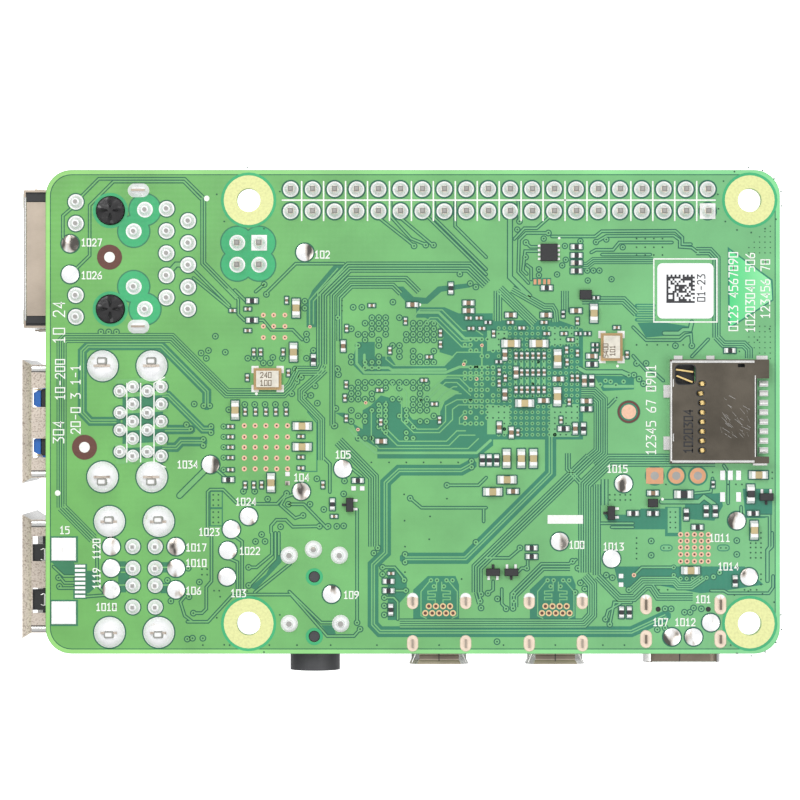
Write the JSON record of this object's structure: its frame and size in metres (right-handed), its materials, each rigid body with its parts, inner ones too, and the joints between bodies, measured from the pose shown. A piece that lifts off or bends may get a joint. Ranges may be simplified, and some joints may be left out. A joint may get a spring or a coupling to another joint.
{
  "type": "single board computer",
  "caption": "Credit-card single board computer with pin header, network, stacked A-type, C-type power, micro display, audio, ribbon and memory-card sockets.",
  "frame": {"origin": "centre of the four mounting holes, on the underside face of the board", "axes": "+X towards the network and A-type sockets, +Y towards the long pin header, +Z out of the component side"},
  "size_m": [0.0878, 0.0581, 0.0195],
  "materials": {
    "board_laminate": "green resist over glass laminate",
    "black_plastic": "moulded, fine grain",
    "white_plastic": "moulded",
    "grey_plastic": "moulded",
    "blue_plastic": "moulded",
    "clear_plastic": "clear moulding",
    "gold_plate": "thin gold plating",
    "tin_plate": "tin plated",
    "socket_steel": "dark tinted stainless sheet",
    "shield_steel": "tin plated sheet",
    "lid_metal": "nickel plated",
    "chip_laminate": "substrate",
    "chip_epoxy": "moulded epoxy",
    "chip_ferrite": "ferrite",
    "chip_ceramic": "fired ceramic with tinned ends",
    "chip_ceramic_black": "fired ceramic with tinned ends",
    "solder": "solder",
    "label_paper": "white label"
  },
  "bodies": {
    "board_assembly": {"audio_jack_body": "black_plastic", "audio_jack_pins": "tin_plate", "card_socket_base": "black_plastic", "card_socket_shell": "socket_steel", "card_solder_tails": "gold_plate", "ethernet_housing": "black_plastic", "ethernet_light_blocks": "clear_plastic", "ethernet_pins": "tin_plate", "ethernet_shield": "shield_steel", "ethernet_transceiver_chip": "chip_epoxy", "gpio_header_body": "black_plastic", "gpio_header_pins": "gold_plate", "id_label": "label_paper", "memory_chip": "chip_epoxy", "micro_hdmi_contacts": "gold_plate", "micro_hdmi_shells": "shield_steel", "micro_hdmi_tongues": "black_plastic", "pad_solder": "solder", "pcb": "board_laminate", "pin_solder": "solder", "poe_header_body": "black_plastic", "poe_header_pins": "gold_plate", "power_manager_chip": "chip_epoxy", "processor_lid": "lid_metal", "processor_substrate": "chip_laminate", "ribbon_socket_bodies": "white_plastic", "ribbon_socket_contacts": "tin_plate", "shell_leg_solder": "solder", "status_leds": "clear_plastic", "top_capacitors": "chip_ceramic", "top_inductors": "chip_ferrite", "top_resistors": "chip_ceramic_black", "top_small_chips": "chip_epoxy", "under_capacitors": "chip_ceramic", "under_crystals": "lid_metal", "under_resistors": "chip_ceramic_black", "under_small_chips": "chip_epoxy", "under_transistors": "chip_epoxy", "usb2_insulator": "black_plastic", "usb2_pins": "tin_plate", "usb2_shell": "shield_steel", "usb3_insulator": "blue_plastic", "usb3_pins": "tin_plate", "usb3_shell": "shield_steel", "usb_c_contacts": "gold_plate", "usb_c_shell": "shield_steel", "usb_c_tongue": "black_plastic", "usb_controller_chip": "chip_epoxy", "usb_port_dividers": "shield_steel", "wireless_shield_can": "lid_metal"},
    "ethernet_springs": {"ethernet_spring_contacts": "gold_plate"},
    "usb3_lower_springs": {"usb3_lower_contacts": "gold_plate"},
    "usb3_upper_springs": {"usb3_upper_contacts": "gold_plate"},
    "usb2_lower_springs": {"usb2_lower_contacts": "gold_plate"},
    "usb2_upper_springs": {"usb2_upper_contacts": "gold_plate"},
    "card_springs": {"card_spring_contacts": "gold_plate"},
    "card_detect": {"card_detect_blades": "gold_plate"},
    "audio_springs": {"audio_jack_springs": "tin_plate"},
    "camera_ribbon_latch": {"camera_latch": "grey_plastic"},
    "display_ribbon_latch": {"display_latch": "grey_plastic"}
  },
  "joints": [
    {"name": "camera_latch_lift", "type": "slide", "parent": "board_assembly", "child": "camera_ribbon_latch", "axis": [0, 0, 1], "range_m": [0, 0.0013]},
    {"name": "display_latch_lift", "type": "slide", "parent": "board_assembly", "child": "display_ribbon_latch", "axis": [0, 0, 1], "range_m": [0, 0.0013]},
    {"name": "ethernet_contact_flex", "type": "hinge", "parent": "board_assembly", "child": "ethernet_springs", "pos_m": [0.0533, 0.01775, 0.01265], "axis": [0, 1, 0], "range_deg": [0, 12]},
    {"name": "usb3_lower_contact_flex", "type": "hinge", "parent": "board_assembly", "child": "usb3_lower_springs", "pos_m": [0.0452, -0.0011, 0.00558], "axis": [0, -1, 0], "range_deg": [0, 5]},
    {"name": "usb3_upper_contact_flex", "type": "hinge", "parent": "board_assembly", "child": "usb3_upper_springs", "pos_m": [0.0452, -0.0011, 0.01348], "axis": [0, -1, 0], "range_deg": [0, 5]},
    {"name": "usb2_lower_contact_flex", "type": "hinge", "parent": "board_assembly", "child": "usb2_lower_springs", "pos_m": [0.0452, -0.0191, 0.00558], "axis": [0, -1, 0], "range_deg": [0, 5]},
    {"name": "usb2_upper_contact_flex", "type": "hinge", "parent": "board_assembly", "child": "usb2_upper_springs", "pos_m": [0.0452, -0.0191, 0.01348], "axis": [0, -1, 0], "range_deg": [0, 5]},
    {"name": "card_contact_flex", "type": "hinge", "parent": "board_assembly", "child": "card_springs", "pos_m": [-0.0293, -0.0006, -0.00024], "axis": [0, -1, 0], "range_deg": [0, 3.5]},
    {"name": "card_detect_flex", "type": "hinge", "parent": "board_assembly", "child": "card_detect", "pos_m": [-0.0224, 0.0046, -0.0005], "axis": [0, 0, 1], "range_deg": [0, 6]},
    {"name": "audio_contact_flex", "type": "hinge", "parent": "board_assembly", "child": "audio_springs", "pos_m": [0.0214, -0.0178, 0.0067], "axis": [-1, 0, 0], "range_deg": [0, 6]}
  ]
}
